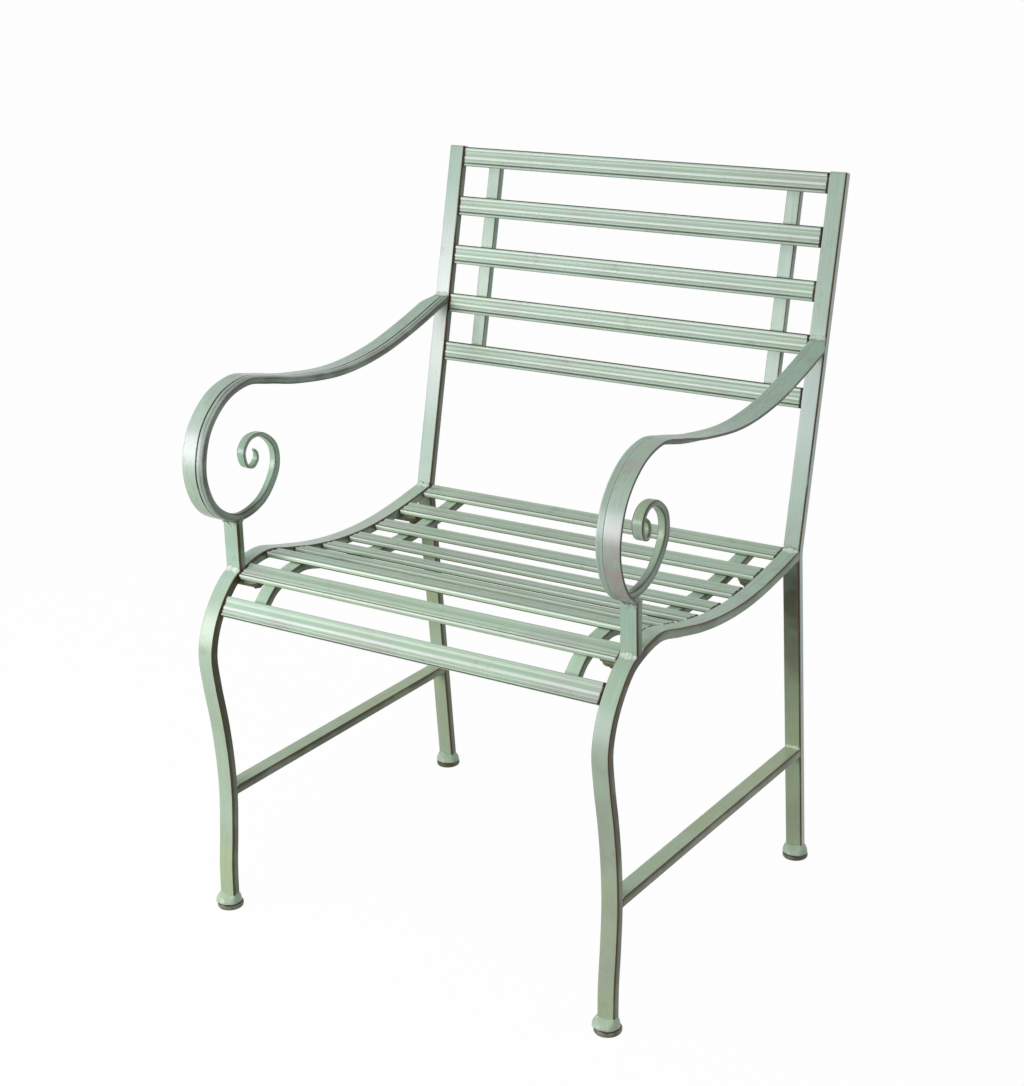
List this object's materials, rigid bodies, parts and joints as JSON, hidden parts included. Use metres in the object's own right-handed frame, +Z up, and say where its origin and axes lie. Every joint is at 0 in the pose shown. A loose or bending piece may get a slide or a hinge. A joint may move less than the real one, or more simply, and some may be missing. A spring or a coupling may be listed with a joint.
{
  "type": "garden armchair",
  "caption": "Painted iron garden armchair with a contoured seat and a leaning back of fluted slats, bent bar side frames and scroll arms.",
  "frame": {"origin": "on the floor, at the middle of the space that the chair takes up", "axes": "+Z up, +X across the chair to the right of someone who faces its front, +Y to the back; the sitter faces -Y"},
  "size_m": [0.59, 0.5806, 0.872],
  "materials": {
    "frame_paint": "satin sage green paint, worn brown at the edges",
    "arm_paint": "satin sage green paint with pale worn highlights",
    "foot_paint": "satin sage green paint with a brown ring at the weld",
    "slat_paint": "brushed sage green paint with grey and cream streaks along the slats",
    "strap_paint": "satin sage green paint, darker olive on the sides",
    "hardware_paint": "dull dark olive"
  },
  "bodies": {
    "root": {"left_back_post": "frame_paint", "right_back_post": "frame_paint", "left_front_leg_rail": "frame_paint", "right_front_leg_rail": "frame_paint", "left_stretcher": "frame_paint", "right_stretcher": "frame_paint", "left_arm_post": "frame_paint", "right_arm_post": "frame_paint", "left_arm_scroll": "arm_paint", "right_arm_scroll": "arm_paint", "left_arm_strip": "arm_paint", "right_arm_strip": "arm_paint", "front_left_foot": "foot_paint", "front_right_foot": "foot_paint", "rear_left_foot": "foot_paint", "rear_right_foot": "foot_paint", "seat_slat_1": "slat_paint", "seat_slat_2": "slat_paint", "seat_slat_3": "slat_paint", "seat_slat_4": "slat_paint", "seat_slat_5": "slat_paint", "seat_slat_6": "slat_paint", "seat_slat_7": "slat_paint", "seat_slat_8": "slat_paint", "seat_slat_9": "slat_paint", "back_slat_1": "slat_paint", "back_slat_2": "slat_paint", "back_slat_3": "slat_paint", "back_slat_4": "slat_paint", "back_slat_5": "slat_paint", "left_seat_strap": "strap_paint", "right_seat_strap": "strap_paint", "left_back_strap": "strap_paint", "right_back_strap": "strap_paint", "front_left_seat_lug": "strap_paint", "front_right_seat_lug": "strap_paint", "rear_left_seat_lug": "strap_paint", "rear_right_seat_lug": "strap_paint", "upper_left_back_lug": "strap_paint", "upper_right_back_lug": "strap_paint", "lower_left_back_lug": "strap_paint", "lower_right_back_lug": "strap_paint", "seat_nut_blocks": "hardware_paint", "back_nut_blocks": "hardware_paint", "seat_bolts": "hardware_paint", "back_bolts": "hardware_paint", "seat_washers": "hardware_paint", "back_washers": "hardware_paint"}
  },
  "joints": []
}
